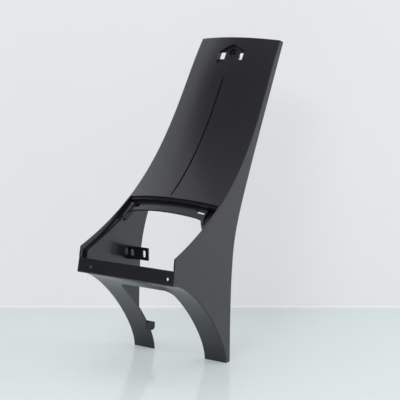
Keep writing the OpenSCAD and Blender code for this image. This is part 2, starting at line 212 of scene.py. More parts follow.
def bulge(z):
    """How far the middle of the face stands out: it grows from nothing at the nose to the full crown at the lip."""
    return CROWN * smooth((z - NOSE[1]) / (LIP_Z - NOSE[1]))


def top_z(y):
    """The plane that cuts the top edge, rising towards the front."""
    return HEIGHT - (y - CREST[0]) * np.tan(np.radians(TOP_SLOPE))


class Line:
    """A line of the side view, told by the length s along it: straight between close points."""

    def __init__(self, pts, hand):
        self.p, self.hand = np.asarray(pts), hand
        self.s = np.concatenate([[0], np.cumsum(np.linalg.norm(np.diff(self.p, axis=0), axis=1))])

    def zero_at(self, z):
        """Counts the length from the point at height z."""
        self.s = self.s - self.of_z(z)
        return self

    def of_z(self, z):
        """The length at which the line reaches height z."""
        up = self.p[-1, 1] > self.p[0, 1]
        zz, ss = (self.p[:, 1], self.s) if up else (self.p[::-1, 1], self.s[::-1])
        return np.interp(z, np.maximum.accumulate(zz), ss)

    def at(self, s):
        """The point [y, z] at length s."""
        return np.stack([np.interp(s, self.s, self.p[:, k]) for k in (0, 1)], -1)

    def along(self, s):
        """The unit direction of the line: the chord from just before s to just after."""
        d = self.at(s + 0.4) - self.at(s - 0.4)
        return d / np.linalg.norm(d, axis=-1, keepdims=True)

    def out(self, s):
        """The unit direction off the part: the line's direction turned by a right angle to its outer hand."""
        d = self.along(s)
        return self.hand * np.stack([-d[..., 1], d[..., 0]], -1)


def neck_line():
    """The face's middle line without its bulge, from the nose to a little beyond the top edge."""
    p = bez([NOSE, NOSE + NOSE_PULL * turn(NOSE_LEAN), CREST - CREST_PULL * turn(CREST_LEAN), CREST],
            np.linspace(0, 1, 1601))
    return Line(np.vstack([p, CREST + 25 * turn(CREST_LEAN)]), 1).zero_at(LIP_Z)


def lower_line():
    """From the nose down the crossbar, round its lower edge, and along the arch to the leg end."""
    up, off = (NOSE - BAR_LOW) / np.linalg.norm(NOSE - BAR_LOW), turn(-3)
    half = np.arccos(up @ off) / 2
    reach = BAR_R / np.tan(half)
    mid = BAR_LOW + (up + off) / np.linalg.norm(up + off) * BAR_R / np.sin(half)
    a = np.linspace(np.arctan2(up[0], -up[1]), np.arctan2(-off[0], off[1]) + 2 * np.pi, 25)
    bend = mid + BAR_R * np.stack([np.cos(a), np.sin(a)], -1)
    arch = bez([BAR_LOW, BAR_LOW + 63 * off, [0, 53], [0, 0]], np.linspace(0, 1, 1601))
    arch = arch[np.linalg.norm(arch - BAR_LOW, axis=1) > reach + 0.05]
    bar = NOSE + (BAR_LOW + up * reach - NOSE) * np.linspace(0, 1, 40)[:, None]
    return Line(np.vstack([bar, bend[1:], arch, [0, -2.0]]), -1), len(bar) - 1, len(bar) + len(bend) - 2


NECK = neck_line()
LOWER, I_BEND, I_ARCH = lower_line()
S_BEND, S_ARCH = LOWER.s[I_BEND], LOWER.s[I_ARCH]


def bar_s(z):
    """Length along the lower line at a height of the crossbar."""
    return (NOSE[1] - z) / (NOSE[1] - BAR_LOW[1]) * np.linalg.norm(NOSE - BAR_LOW)


def face(x, s, lift):
    """The bulged face: the neck line, plus a parabola across the width along its outward direction, plus lift along
    the normal."""
    p, n = NECK.at(s), NECK.out(s)
    w = half_w(p[..., 1])
    c = bulge(p[..., 1])
    slope = np.arctan(2 * c * x / w**2)
    stand = c * (1 - (x / w) ** 2) + np.cos(slope) * lift
    return np.stack([x + np.sin(slope) * lift, p[..., 0] + n[..., 0] * stand, p[..., 1] + n[..., 1] * stand], -1)


def weld(points, quads, tris=None):
    """Points nearer than a ten-thousandth of a millimetre become one, and quads that shrink become triangles or go."""
    key = np.round(points * 1e4).astype(np.int64)
    _, first, back = np.unique(key, axis=0, return_index=True, return_inverse=True)
    back = back.reshape(-1)
    q = back[quads]
    same = [q[:, k] == q[:, (k + 1) % 4] for k in range(4)]
    cross = (q[:, 0] == q[:, 2]) | (q[:, 1] == q[:, 3])
    count = sum(m.astype(int) for m in same)
    three = []
    for k in range(4):
        m = (count == 1) & same[k] & ~cross
        three.append(q[m][:, [k, (k + 2) % 4, (k + 3) % 4]])
    if tris is not None and len(tris):
        t = back[tris]
        three.append(t[(t[:, 0] != t[:, 1]) & (t[:, 1] != t[:, 2]) & (t[:, 0] != t[:, 2])])
    return points[first], q[(count == 0) & ~cross], np.vstack(three)


def wall_mesh(outer, inner, solid, r=EDGE_R):
    """A wall between two grids of points where solid is true. Every free edge gets a rim: from the outer grid,
    pulled in by r, round a quarter circle, straight across, and round another quarter circle to the inner grid. The
    faces are turned outwards by piece."""
    rows, cols = outer.shape[:2]
    ids = np.arange(rows * cols).reshape(rows, cols)
    pad = np.zeros((rows + 1, cols + 1), bool)
    pad[1:-1, 1:-1] = solid
    o, q = outer.reshape(-1, 3), inner.reshape(-1, 3)
    up, dn = pad[:-1, 1:-1], pad[1:, 1:-1]
    lf, rt = pad[1:-1, :-1], pad[1:-1, 1:]
    e = []
    i, j = np.nonzero(dn & ~up)
    e.append(np.stack([ids[i, j], ids[i, j + 1], ids[i + 1, j], ids[i + 1, j + 1]], -1))
    i, j = np.nonzero(up & ~dn)
    e.append(np.stack([ids[i, j + 1], ids[i, j], ids[i - 1, j + 1], ids[i - 1, j]], -1))
    i, j = np.nonzero(lf & ~rt)
    e.append(np.stack([ids[i, j], ids[i + 1, j], ids[i, j - 1], ids[i + 1, j - 1]], -1))
    i, j = np.nonzero(rt & ~lf)
    e.append(np.stack([ids[i + 1, j], ids[i, j], ids[i + 1, j + 1], ids[i, j + 1]], -1))
    e = np.vstack(e)
    key = np.round(np.hstack([o, q]) * 1e4).astype(np.int64)
    _, back = np.unique(key, axis=0, return_inverse=True)
    back = back.reshape(-1)

    def pull(pts):
        """For each point on a free edge, the way into the wall, at right angles to the edge, mitred at corners."""
        a, b = pts[e[:, 0]], pts[e[:, 1]]
        run = b - a
        ln = np.linalg.norm(run, axis=1, keepdims=True)
        run = run / np.maximum(ln, 1e-9)
        total = np.zeros((back.max() + 1, 3))
        for end, near in ((0, 2), (1, 3)):
            d = pts[e[:, near]] - pts[e[:, end]]
            d = d - (d * run).sum(1, keepdims=True) * run
            d = d / np.maximum(np.linalg.norm(d, axis=1, keepdims=True), 1e-9) * (ln > 1e-3)
            np.add.at(total, back[e[:, end]], d)
        size = np.linalg.norm(total, axis=1, keepdims=True)
        total = total / np.maximum(size, 1e-9) * np.minimum(2 / np.maximum(size, 1e-9), 1.6)
        return total[back]

    edge = np.zeros(rows * cols, bool)
    edge[e[:, :2].ravel()] = True
    d_out, d_in = pull(o), pull(q)
    across = q - o
    across = across / np.maximum(np.linalg.norm(across, axis=1, keepdims=True), 1e-9)
    steps = np.radians([0, 30, 60, 90])
    ring = [o + d_out * r * (1 - np.sin(t)) + across * r * (1 - np.cos(t)) for t in steps]
    ring += [q + d_in * r * (1 - np.sin(t)) - across * r * (1 - np.cos(t)) for t in steps[::-1]]
    k = len(ring)
    n = rows * cols
    top = np.where(edge[:, None], ring[0], o)
    low = np.where(edge[:, None], ring[-1], q)
    pts = np.vstack([top] + ring[1:-1] + [low])
    i, j = np.nonzero(solid)
    cell = np.stack([ids[i, j], ids[i + 1, j], ids[i + 1, j + 1], ids[i, j + 1]], -1)
    quads = [cell, cell[:, ::-1] + (k - 1) * n]
    for m in range(k - 1):
        quads.append(np.stack([e[:, 1] + m * n, e[:, 0] + m * n, e[:, 0] + (m + 1) * n, e[:, 1] + (m + 1) * n], -1))
    quads = np.vstack(quads)
    used = np.unique(quads)
    new = np.zeros(len(pts), int)
    new[used] = np.arange(len(used))
    return pts[used], new[quads]


def piece(name, parts, sharp=42):
    """One object from closed meshes in millimetres: each is welded, set in the part's frame in metres and turned
    outwards, by its volume. Shading is smooth, with edges marked sharp from this many degrees."""
    whole = bmesh.new()
    for p in parts:
        v, q, t = weld(*p)
        one = bpy.data.meshes.new("part")
        one.from_pydata((v - [0, MID_Y * 1000, 0]) / 1000, [], q.tolist() + t.tolist())
        bm = bmesh.new()
        bm.from_mesh(one)
        bmesh.ops.recalc_face_normals(bm, faces=bm.faces[:])
        if bm.calc_volume(signed=True) < 0:
            bmesh.ops.reverse_faces(bm, faces=bm.faces[:])
        bm.to_mesh(one)
        bm.free()
        whole.from_mesh(one)
        bpy.data.meshes.remove(one)
    me = bpy.data.meshes.new(name)
    whole.to_mesh(me)
    whole.free()
    me.shade_smooth()
    me.set_sharp_from_angle(angle=np.radians(sharp))
    me.materials.append(mat)
    ob = bpy.data.objects.new(name, me)
    scene.collection.objects.link(ob)
    wn = ob.modifiers.new("even_normals", "WEIGHTED_NORMAL")
    wn.keep_sharp = True
    wn.weight = 60
    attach(ob, "root")
    return ob


def ring_of(a, b):
    """Square rings of grid steps become round ones: the ring's number, and each step's unit direction, whose angle
    goes evenly along the square's side."""
    k = np.maximum(np.abs(a), np.abs(b))
    u, v = a / np.maximum(k, 1), b / np.maximum(k, 1)
    flat = np.abs(a) >= np.abs(b)
    q = np.pi / 4
    cx = np.where(flat, np.sign(a) * np.cos(v * q), np.sin(u * q))
    cy = np.where(flat, np.sin(v * q), np.sign(b) * np.cos(u * q))
    return k, cx, cy


# ---- the shell: rows run from the top edge down to the leg ends, columns from the left rear edge round to the right one
SIDE_N, FOLD_N = 7, 4
SEAT_S = float(NECK.of_z(HEIGHT - 37.5 * np.sin(np.radians(CREST_LEAN))))  # the screw's place along the neck
HOUSE = 28.5  # half the width of the house-shaped recess
FACE_X = np.array([0, 1.7, 2.8, 3.9, 5.3, 6.6, 8, 12, 16.25, 22, 27.75, HOUSE, HOUSE, 36, 45, 54, 63, 72, 82, 91,
                   100.0])
MID_COL = len(FACE_X) - 1
COL = np.arange(-MID_COL, MID_COL + 1)  # the columns' numbers, counted from the middle one
C_FLOOR, C_SURF = 11, 12  # the recess wall's column at its floor, and at the face
SCREW_LIFT, SCREW_BACK = -10, -26  # the counterbore's floor and the boss's end, off the face
SEAT_LIFT = -6  # the recess's floor
ROOF_IN, ROOF_OUT = (2, 16), (3.5, 19)  # eaves and ridge of the recess's roof, and of the wall round it
NO_RING = 99


def roof(x, half, eaves, ridge):
    """A gable: straight from the ridge in the middle down to the eaves at half the width."""
    return eaves + (ridge - eaves) * np.clip(1 - np.abs(x) / half, 0, 1)


def neck_rows():
    """Face coordinates (X, S) of the neck's grid, with rows bent along the top edge, the screw seat's roof, the
    groove's hook and the lip, the depth of the groove at each point, and the rows' names."""
    X = np.concatenate([-FACE_X[:0:-1], FACE_X])[None, :]
    ax = np.abs(X)
    out_b = smooth((ax - HOUSE) / 31.5)
    top_s = float(NECK.of_z(HEIGHT))
    gl, gh = float(NECK.of_z(GROOVE_LOW)), float(NECK.of_z(GROOVE_TOP))
    crown_here = CROWN * (1 - (ax / 100) ** 2)
    one = np.ones_like(X)
    rows, tag = [], []

    def add(s, name=None, shift=0.0, deep=0.0):
        rows.append((s * one, shift, deep))
        tag.append(name)

    add(top_s - 0.344 * crown_here, "top")
    add(top_s - 9)
    add(SEAT_S + 23)
    r = roof(ax, HOUSE, *ROOF_IN) * (ax <= HOUSE) + (2 + 10 * out_b) * (ax > HOUSE)
    add(SEAT_S + r, "roof_s")
    add(SEAT_S + r, "roof_f")
    beta = np.clip((ax - 8) / 14, 0, 1)
    for k in range(6, 0, -1):
        base = 8 * k / 6
        y = (1 - beta) * base + beta * r * k / 8
        y = np.where(ax > HOUSE, k / 4 * (1 - out_b) + base * out_b, y)
        add(SEAT_S + y, k)
    for k in range(0, -7, -1):
        add(SEAT_S + 8 * k / 6, k)
    add(SEAT_S - 15.75, "window")
    add(SEAT_S - 26, "floor_f")
    add(SEAT_S - 26, "floor_s")
    add(SEAT_S - 34)
    add(SEAT_S - 41, shift=2.5)
    add(gh + 8, shift=7.0)
    add(gh + 7, shift=7.0, deep=GROOVE_DEEP)
    add(gh + 3.5, shift=3.5, deep=GROOVE_DEEP)
    for s in np.linspace(gh, gl, 27):
        add(s, deep=GROOVE_DEEP)
    add(gl - 1.5)
    add(8.0)
    add(4.0)
    add(-0.36 / 0.933 * crown_here, "lip")
    S = np.vstack([q[0] for q in rows])
    shift = np.array([q[1] for q in rows])[:, None]
    deep = np.array([q[2] for q in rows])[:, None]
    w = half_w(NECK.at(S)[..., 1])
    tip = w - FOLD_R * (1 - np.sin(np.arctan(2 * CROWN / w)))
    Xf = np.where(ax <= HOUSE, X, np.sign(X) * (HOUSE + (ax - HOUSE) / (100 - HOUSE) * (tip - HOUSE)))
    Xf = Xf + shift * np.clip(1 - ax / HOUSE, 0, 1)
    return Xf, S, deep * (ax < 0.1), tag


def screw_seat(X, S, outer, inner, tag):
    """Bends the grid into the house-shaped recess: a flat floor under the face, with the counterbore's and the screw
    hole's square rings of cells drawn into circles. The inner grid does the same, one wall thickness further out."""
    row = {t: i for i, t in enumerate(tag) if t is not None}
    i0, i1 = row["roof_f"], row["floor_f"]
    p0, n0, d0 = NECK.at(SEAT_S), NECK.out(SEAT_S), NECK.along(SEAT_S)

    def plane(x, y, lift):
        """A point in the screw's own frame: across, up along the face, and off it."""
        at = p0 + n0 * (CROWN + lift)[..., None] + d0 * y[..., None]
        return np.stack([x, at[..., 0], at[..., 1]], -1)

    ii = np.arange(i0, i1 + 1)
    cc = np.nonzero(np.abs(COL) <= C_FLOOR)[0]
    sub = np.ix_(ii, cc)
    x, y = X[sub].copy(), S[sub] - SEAT_S
    k = np.array([tag[i] if isinstance(tag[i], int) else NO_RING for i in ii])
    a, b = np.meshgrid(COL[cc], k)
    ring, cx, cy = ring_of(a, np.where(b == NO_RING, 6, b))
    inside = (ring <= 6) & (b != NO_RING)
    rim = np.abs(COL[cc]) == C_FLOOR
    for grid, radius, depth, floor_lift, grow in (
        (outer, [0, 1, 2, 3, 5.5, 8, 8], [SCREW_LIFT] * 6 + [SEAT_LIFT], SEAT_LIFT, 0),
        (inner, [0, 1, 2, 3, 5.5, 5.8, 11], [SCREW_BACK] * 5 + [SCREW_LIFT - WALL] * 2, SEAT_LIFT - WALL, WALL),
    ):
        gx, gy = x.copy(), y.copy()
        if grow:
            gx[:, rim] += np.sign(gx[:, rim]) * grow
            gy[0] = roof(gx[0], HOUSE + grow, *ROOF_OUT)
            gy[-1] -= grow
        lift = np.full_like(gx, floor_lift)
        rr, dd = np.array(radius, float)[np.minimum(ring, 6)], np.array(depth, float)[np.minimum(ring, 6)]
        gx = np.where(inside, rr * cx, gx)
        gy = np.where(inside, rr * cy, gy)
        lift = np.where(inside, dd, lift)
        grid[sub] = plane(gx, gy, lift)


def neck_part():
    """The neck's outer and inner grids, without the side panels: the face, the face one wall thickness under it, and
    the screw seat in both. The third grid is false in the two windows and in the screw hole."""
    X, S, deep, tag = neck_rows()
    outer = face(X, S, -deep)
    Xi, Si = X.copy(), S.copy()
    Si[-1] += 1.15
    row = {t: i for i, t in enumerate(tag) if t is not None}
    rr = slice(row["roof_s"], row["floor_s"] + 1)
    wide = np.abs(COL) <= C_SURF
    grown = wide & (np.abs(COL) >= C_FLOOR)
    Xi[rr, grown] += np.sign(COL[grown]) * WALL
    for t in ("roof_s", "roof_f"):
        i = row[t]
        Si[i] = np.where(wide, SEAT_S + roof(np.abs(Xi[i]), HOUSE + WALL, *ROOF_OUT), S[i] + 1.5)
    for t in ("floor_f", "floor_s"):
        Si[row[t]] = S[row[t]] - WALL
    inner = face(Xi, Si, -WALL)
    screw_seat(X, S, outer, inner, tag)
    solid = np.ones((len(S) - 1, X.shape[1] - 1), bool)
    c = COL[:-1]
    windows = slice(row[0], row["window"])
    solid[windows, (c >= 8) & (c < 10)] = False
    solid[windows, (c >= -10) & (c < -8)] = False
    solid[row[3]:row[-3], (c >= -3) & (c < 3)] = False
    return outer, inner, solid, S[:, 0]


ARC = np.radians(np.linspace(0, 90, 7))
ARC_X = 46 + ARCH_R * np.sin(ARC)
ARC_Z = RIM_Z - ARCH_R + ARCH_R * np.cos(ARC)
HOLE = np.linspace(-BAR_HOLE_R, BAR_HOLE_R, 7)
BAR_X = np.concatenate([
    [-109, -100, -91], HOLE + BAR_HOLES[0], [-72, -69, -66, -62, -58, -54, -50, -46, -30, -15, 0, 15, 30],
    [46, 51, 56, 61, 66, 71, 76, 81, 86.5], HOLE + BAR_HOLES[1], [102.5, 109]])
LEG_X = np.concatenate([
    [-109, -101, -94, -88, -85, -82, -79, -76, -73, -70, -65], -ARC_X[::-1], [-30, -15, 0, 15, 30],
    ARC_X, [66, 72, 78, 81.5, 85, 88.5, 92, 95.5, 99, 103, 109]])
HOLE_COLS, HOLE_ROWS = (3, 32), slice(2, 9)  # the holes' first columns, and their rows
LEFT_ARC, RIGHT_ARC, GAP = slice(11, 18), slice(23, 30), slice(11, 29)  # columns of the arch's corners and gap


def lower_part():
    """The crossbar, the arched strip and the two leg flanges, as one grid on the lower line: columns spread by height,
    from the crossbar's to the legs', and rows end at the gap's rim or run on to the leg ends."""
    c_z = np.concatenate([[BAR_TOP, 204.5], BAR_HOLE_Z - HOLE, [187.2]])
    s_bar = np.concatenate([bar_s(c_z), [S_BEND], S_BEND + (S_ARCH - S_BEND) * np.array([0.25, 0.5, 0.75, 1])])
    n_bar = len(s_bar)
    cols = len(BAR_X)
    S = [np.full(cols, s) for s in s_bar]
    X = [BAR_X] * n_bar
    arch_z = LOWER.p[I_ARCH:, 1][::-1]
    arch_s = LOWER.s[I_ARCH:][::-1]
    rim_z = np.full(cols, RIM_Z - ARCH_R)
    rim_z[np.abs(LEG_X) < 46.01] = RIM_Z
    rim_z[LEFT_ARC] = ARC_Z[::-1]
    rim_z[RIGHT_ARC] = ARC_Z
    rim_s = np.interp(rim_z, arch_z, arch_s)
    n_arch = 10
    for v in np.arange(1, n_arch + 1) / n_arch:
        S.append(S_ARCH + (rim_s - S_ARCH) * v)
        X.append(LEG_X + (BAR_X - LEG_X) * (1 - v) ** 0.6)
    end = np.interp(0.0, arch_z, arch_s)
    for v in np.linspace(0, 1, 23)[1:]:
        S.append(rim_s + (end - rim_s) * v)
        X.append(LEG_X)
    X, S = np.array(X), np.array(S)
    p = LOWER.at(S)
    tip = half_w(p[..., 1]) - FOLD_R
    X = np.where(np.abs(X) > 108, np.sign(X) * tip, X)
    a, b = np.meshgrid(np.arange(-3, 4), np.arange(3, -4, -1))
    ring, cx, cy = ring_of(a, b)
    for c0, mid in zip(HOLE_COLS, BAR_HOLES):
        X[HOLE_ROWS, c0:c0 + 7] = mid + BAR_HOLE_R * ring / 3 * cx
        S[HOLE_ROWS, c0:c0 + 7] = bar_s(BAR_HOLE_Z + BAR_HOLE_R * ring / 3 * cy)
    p, n = LOWER.at(S), LOWER.out(S)
    flat = np.stack([X, p[..., 0], p[..., 1]], -1)
    nn = np.concatenate([np.zeros_like(X)[..., None], n], -1)
    inner = flat - WALL * nn
    inner[n_bar - 5:n_bar, :, 1:] = bend_corner()
    solid = np.ones((len(S) - 1, cols - 1), bool)
    for c0 in HOLE_COLS:
        solid[2:8, c0:c0 + 6] = False
    solid[n_bar - 1 + n_arch:, GAP] = False
    return flat, inner, solid, p[:, 0], n[:, 0]


def bend_corner():
    """Where the inner lines of the crossbar and of the arch meet, on the halving line of their angle."""
    a, na = LOWER.at(S_BEND - 1), LOWER.out(S_BEND - 1)
    b, nb = LOWER.at(S_ARCH + 1), LOWER.out(S_ARCH + 1)
    m = (na + nb) / np.linalg.norm(na + nb)
    return BAR_LOW - m / (m @ na) * WALL


def fold(p, n, c, lift):
    """Columns round the fold between face and side panel: an arc of the fold's radius, from the face's slope to the
    panel. Inside the wall the arc shrinks to the corner."""
    w = half_w(p[:, 1])
    al = np.arctan(2 * c / w)
    tip = w - FOLD_R * (1 - np.sin(al))
    al = np.arctan(2 * c * tip / w**2)
    ct = c * (1 - (tip / w) ** 2)
    phi = al[:, None] + (np.pi / 2 - al[:, None]) * np.linspace(0, 1, FOLD_N + 1)[None, 1:]
    rho = FOLD_R + lift
    mid = (al + np.pi / 2) / 2
    far = min(rho, 0) / np.cos((np.pi / 2 - al) / 2)
    x = w[:, None] - FOLD_R + max(rho, 0) * np.sin(phi) + (far * np.sin(mid))[:, None]
    h = (ct - FOLD_R * np.cos(al))[:, None] + max(rho, 0) * np.cos(phi) + (far * np.cos(mid))[:, None]
    yz = p[:, None] + n[:, None] * h[..., None]
    return x, yz


def side_cols(a, x_less):
    """Columns of a side panel, straight back from the fold's end to the rear edge at the same height, with x at half
    the width less x_less."""
    v = (np.arange(1, SIDE_N + 1) / SIDE_N)[None, :]
    z = np.repeat(a[:, 1:2], SIDE_N, 1)
    y = a[:, :1] + (rear_y(z) - a[:, :1]) * v
    return np.stack([half_w(z) - x_less, y, z], -1)


def with_sides(grid, p, n, c, lift, square=None):
    """Adds fold and side panel columns to both sides of a face grid. Rows marked square have no face: there the
    panel runs straight up to its front edge."""
    x, yz = fold(p, n, c, lift)
    less = -lift
    cols = np.concatenate([x[..., None], yz], -1)
    end = yz[:, -1]
    if lift < 0:
        end = fold(p, n, c, 0.0)[1][:, -1]
    if square is not None:
        k = np.arange(1, FOLD_N + 1) / FOLD_N
        flat = np.stack([np.repeat((half_w(p[:, 1]) - less)[:, None], FOLD_N, 1), p[:, :1] + FOLD_R * k[None],
                         np.repeat(p[:, 1:2], FOLD_N, 1)], -1)
        cols = np.where(square[:, None, None], flat, cols)
        end = np.where(square[:, None], flat[:, -1, 1:], end)
    side = side_cols(end, less)
    right = np.concatenate([cols, side], 1)
    left = right[:, ::-1] * [-1, 1, 1]
    return np.concatenate([left, grid, right], 1)


def shell_mesh():
    """The whole shell. The neck, the open stretch beside the hatch opening, and the crossbar with the legs follow each
    other as rows of one grid, with a fold and a side panel at both ends of each row. The first row is drawn onto the
    plane of the top edge."""
    no, ni, ns, s_fold = neck_part()
    lo, li, ls, lp, ln = lower_part()
    cols = lo.shape[1]
    hs = np.linspace(-2.0, NECK.of_z(NOSE[1]), 13)
    hp = np.vstack([NECK.at(hs), LOWER.at(bar_s(np.array([224.0, 218.0, 213.0])))])
    hn = np.tile([[-1.0, 0.0]], (len(hp), 1))
    sign = np.where(np.arange(cols) < cols // 2, -1, 1)
    ho = np.zeros((len(hp), cols, 3))
    ho[..., 0] = sign * half_w(hp[:, 1])[:, None]
    ho[..., 1:] = hp[:, None]
    hi = ho.copy()
    hi[..., 0] = sign * (half_w(hp[:, 1])[:, None] - WALL)
    p = np.vstack([NECK.at(s_fold), hp, lp])
    n = np.vstack([NECK.out(s_fold), hn, ln])
    c = np.concatenate([np.full(len(s_fold), CROWN), np.zeros(len(hp) + len(lp))])
    a, b = len(s_fold), len(s_fold) + len(hp)
    square = np.zeros(len(p), bool)
    square[a:b] = True
    outer = with_sides(np.vstack([no, ho, lo]), p, n, c, 0.0, square)
    inner = with_sides(np.vstack([ni, hi, li]), p, n, c, -WALL, square)
    solid = np.zeros((len(p) - 1, outer.shape[1] - 1), bool)
    side = FOLD_N + SIDE_N
    solid[:, :side] = True
    solid[:, -side:] = True
    solid[:a - 1, side:-side] = ns
    solid[b:, side:-side] = ls
    v = np.arange(1, SIDE_N + 1) / SIDE_N
    rear = NOSE[1]
    for _ in range(12):  # the rear edge's y at the top edge, by repeated substitution
        rear = rear_y(top_z(rear))
    for g, less in ((outer, 0), (inner, WALL)):
        y = g[0, :, 1]
        y0 = g[0, SIDE_N, 1]
        y[:SIDE_N] = y0 + (rear - y0) * v[::-1]
        y[-SIDE_N:] = y0 + (rear - y0) * v
        g[0, :, 2] = top_z(y)
        g[0, :SIDE_N, 0] = -(half_w(g[0, :SIDE_N, 2]) - less)
        g[0, -SIDE_N:, 0] = half_w(g[0, -SIDE_N:, 2]) - less
    return wall_mesh(outer, inner, solid)


def soften(pts, r, n=4):
    """A closed outline whose corners become arcs of radius r, or of the radius given for each corner."""
    pts = np.asarray(pts, float)
    r = np.broadcast_to(r, len(pts))[:, None]
    a, b = np.roll(pts, 1, 0) - pts, np.roll(pts, -1, 0) - pts
    la, lb = np.linalg.norm(a, axis=1, keepdims=True), np.linalg.norm(b, axis=1, keepdims=True)
    a, b = a / la, b / lb
    half = np.arccos(np.clip((a * b).sum(1, keepdims=True), -1, 1)) / 2
    cut = np.minimum(r / np.tan(half), np.minimum(la, lb) * 0.49)
    rad = cut * np.tan(half)
    mid = pts + (a + b) / np.linalg.norm(a + b, axis=1, keepdims=True) * rad / np.sin(half)
    u, v = pts + a * cut - mid, pts + b * cut - mid
    t = np.linspace(0, 1, n + 1)[None, :, None]
    arc = u[:, None] * (1 - t) + v[:, None] * t
    arc = arc / np.maximum(np.linalg.norm(arc, axis=2, keepdims=True), 1e-9) * rad[:, None]
    return (mid[:, None] + arc).reshape(-1, 2)


def loft(rings):
    """A skin over rings of equal count, closed at both ends by a fan to the middle of the ring."""
    k, m = rings.shape[:2]
    pts = np.vstack([rings.reshape(-1, 3), rings[0].mean(0)[None], rings[-1].mean(0)[None]])
    i, j = np.meshgrid(np.arange(k - 1), np.arange(m), indexing="ij")
    n = (j + 1) % m
    quads = np.stack([i * m + j, i * m + n, (i + 1) * m + n, (i + 1) * m + j], -1).reshape(-1, 4)
    j = np.arange(m)
    n = (j + 1) % m
    low = np.stack([n, j, np.full(m, k * m)], -1)
    top = np.stack([(k - 1) * m + j, (k - 1) * m + n, np.full(m, k * m + 1)], -1)
    return pts, quads, np.vstack([low, top])


def slab(outline, lo, hi, place, r=0.5):
    """A flat plate: its outline swept from lo to hi, with a quarter circle of radius r round both faces. Place turns
    the outline's two coordinates and the height into points."""
    mid = outline.mean(0)
    edge = np.roll(outline, -1, 0) - np.roll(outline, 1, 0)
    out = np.stack([edge[:, 1], -edge[:, 0]], -1)
    out = out / np.maximum(np.linalg.norm(out, axis=1, keepdims=True), 1e-9)
    out = out * np.sign(((outline - mid) * out).sum() or 1)
    t = np.radians([90, 60, 30, 0])
    rings = [(outline - out * r * (1 - np.cos(v)), lo + r * (1 - np.sin(v))) for v in t]
    rings += [(outline - out * r * (1 - np.cos(v)), hi - r * (1 - np.sin(v))) for v in t[::-1]]
    return loft(np.array([place(o[:, 0], o[:, 1], np.full(len(o), d)) for o, d in rings]))


def seen_from_front(u, v, d):
    """An outline across and up, with its height to the rear."""
    return np.stack([u, d, v], -1)


def seen_from_above(u, v, d):
    """An outline across and to the rear, with its height upwards."""
    return np.stack([u, v, d], -1)


LIP_N, LIP_DOWN = NECK.out(0.0), -NECK.along(0.0)
LIP_DIR = np.array([-np.cos(np.radians(LIP_SLOPE)), np.sin(np.radians(LIP_SLOPE))])
LIP_W = float(half_w(LIP_Z))


def lip_mesh():
    """The stepped wall under the lip: one section, softened at its steps, carried across the bulged edge."""
    section = soften([[-6, -1.4], [-0.3, -1.4], [-0.3, -4.9], [3, -4.9], [3, -13.9], [0.2, -13.9], [0.2, -8], [-6, -8]],
                     [0.1, 0.1, 0.7, 1.1, 0.1, 0.1, 0.1, 0.1])
    x = np.linspace(-1, 1, 49) * (LIP_W - WALL + 0.4)
    q = NECK.at(0.0) + LIP_DIR * (CROWN * (1 - (x / LIP_W) ** 2) / (LIP_N @ LIP_DIR))[:, None]
    v = q[:, None] + section[None, :, :1] * LIP_DOWN + section[None, :, 1:] * LIP_N
    return loft(np.concatenate([np.repeat(x[:, None, None], len(section), 1), v], -1))


SEAT_DEEP, RIB_W = 12.5, 6.0
LEDGE, SLANT, SLANT_FROM, SLANT_RUN = 28.0, 3.5, 87.5, 163  # the ledge reaches LEDGE down, and SLANT more at the right
GUSSET_H, OPEN_R, WELL_H, WELL_DEEP, WELL_WALL = 24.0, 7.0, 44.0, 8.0, 2.0
CATCH_W, CATCH, CATCH_LEFT, CATCH_RIGHT = 18.0, (10.5, 19.5), 83.0, 71.0
SEAT_FOOT = np.array([-168.0, 203.5])


